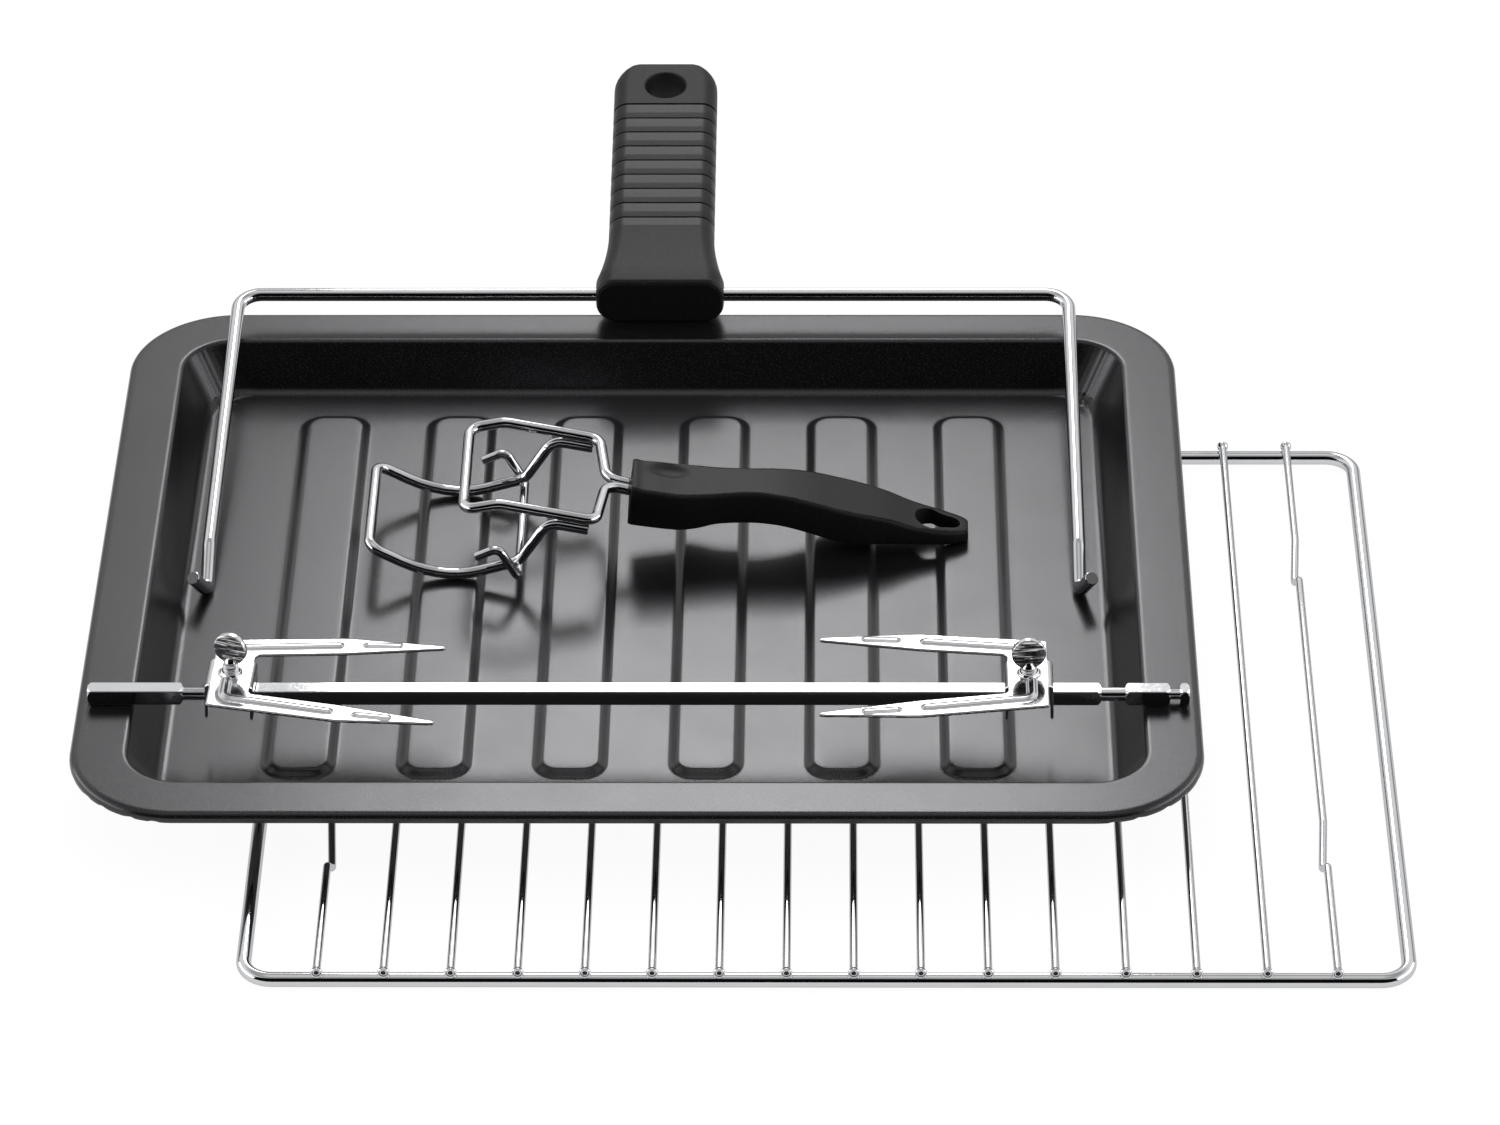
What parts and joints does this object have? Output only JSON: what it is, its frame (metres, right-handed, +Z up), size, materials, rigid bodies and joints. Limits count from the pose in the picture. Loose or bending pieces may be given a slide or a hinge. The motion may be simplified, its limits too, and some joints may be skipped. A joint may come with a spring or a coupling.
{
  "type": "mini oven accessory set",
  "caption": "Roasting accessories of a mini oven: wire rack, ribbed baking tray, rotisserie spit with forks, spit lifter and tray gripper.",
  "frame": {"origin": "middle of the baking tray's floor, on its upper face between the two middle ribs", "axes": "+Z up, +X to the right along the spit and the tray's long side, +Y away towards the lifter's grip"},
  "size_m": [0.4754, 0.5303, 0.0643],
  "materials": {
    "rack_chrome": "bright chrome plate on drawn wire",
    "tray_coating": "satin charcoal non-stick coating with a fine grain",
    "spit_chrome": "bright plated square bar with turned necks",
    "fork_chrome": "bright plated stamped sheet",
    "screw_steel": "plated steel with pressing marks on the head",
    "tool_chrome": "bright chrome plate on bent wire",
    "grip_plastic": "finely grained black moulding",
    "handle_plastic": "finely grained black moulding"
  },
  "bodies": {
    "rack": {"rack_frame": "rack_chrome", "rack_rod_01": "rack_chrome", "rack_rod_02": "rack_chrome", "rack_rod_03": "rack_chrome", "rack_rod_04": "rack_chrome", "rack_rod_05": "rack_chrome", "rack_rod_06": "rack_chrome", "rack_rod_07": "rack_chrome", "rack_rod_08": "rack_chrome", "rack_rod_09": "rack_chrome", "rack_rod_10": "rack_chrome", "rack_rod_11": "rack_chrome", "rack_rod_12": "rack_chrome", "rack_rod_13": "rack_chrome", "rack_rod_14": "rack_chrome", "rack_rod_15": "rack_chrome", "rack_rod_16": "rack_chrome"},
    "tray": {"baking_tray": "tray_coating"},
    "spit": {"spit_bar": "spit_chrome"},
    "fork_left": {"fork_left": "fork_chrome"},
    "fork_right": {"fork_right": "fork_chrome"},
    "thumbscrew_left": {"thumbscrew_left": "screw_steel"},
    "thumbscrew_right": {"thumbscrew_right": "screw_steel"},
    "lifter": {"lifter_wire": "tool_chrome", "lifter_grip": "grip_plastic"},
    "gripper": {"gripper_upper_loop": "tool_chrome", "gripper_lower_loop": "tool_chrome", "gripper_hook_wire": "tool_chrome", "gripper_handle": "handle_plastic"}
  },
  "joints": [
    {"name": "tray_lift", "type": "slide", "parent": "rack", "child": "tray", "axis": [0, 0, 1], "range_m": [0, 0.06]},
    {"name": "spit_lift", "type": "slide", "parent": "tray", "child": "spit", "axis": [0, 0, 1], "range_m": [0, 0.08]},
    {"name": "fork_left_slide", "type": "slide", "parent": "spit", "child": "fork_left", "axis": [1, 0, 0], "range_m": [-0.02, 0.058]},
    {"name": "fork_right_slide", "type": "slide", "parent": "spit", "child": "fork_right", "axis": [1, 0, 0], "range_m": [-0.058, 0.02]},
    {"name": "thumbscrew_left_turn", "type": "hinge", "parent": "fork_left", "child": "thumbscrew_left", "pos_m": [-0.1466, -0.097, 0.0217], "axis": [0.0384, -0.0016, 0.9993], "range_deg": [0, 450]},
    {"name": "thumbscrew_right_turn", "type": "hinge", "parent": "fork_right", "child": "thumbscrew_right", "pos_m": [0.1406, -0.097, 0.0217], "axis": [-0.0175, 0, 0.9998], "range_deg": [0, 450]},
    {"name": "lifter_lift", "type": "slide", "parent": "tray", "child": "lifter", "axis": [0, 0, 1], "range_m": [0, 0.08]},
    {"name": "gripper_lift", "type": "slide", "parent": "tray", "child": "gripper", "axis": [0, 0, 1], "range_m": [0, 0.08]}
  ]
}
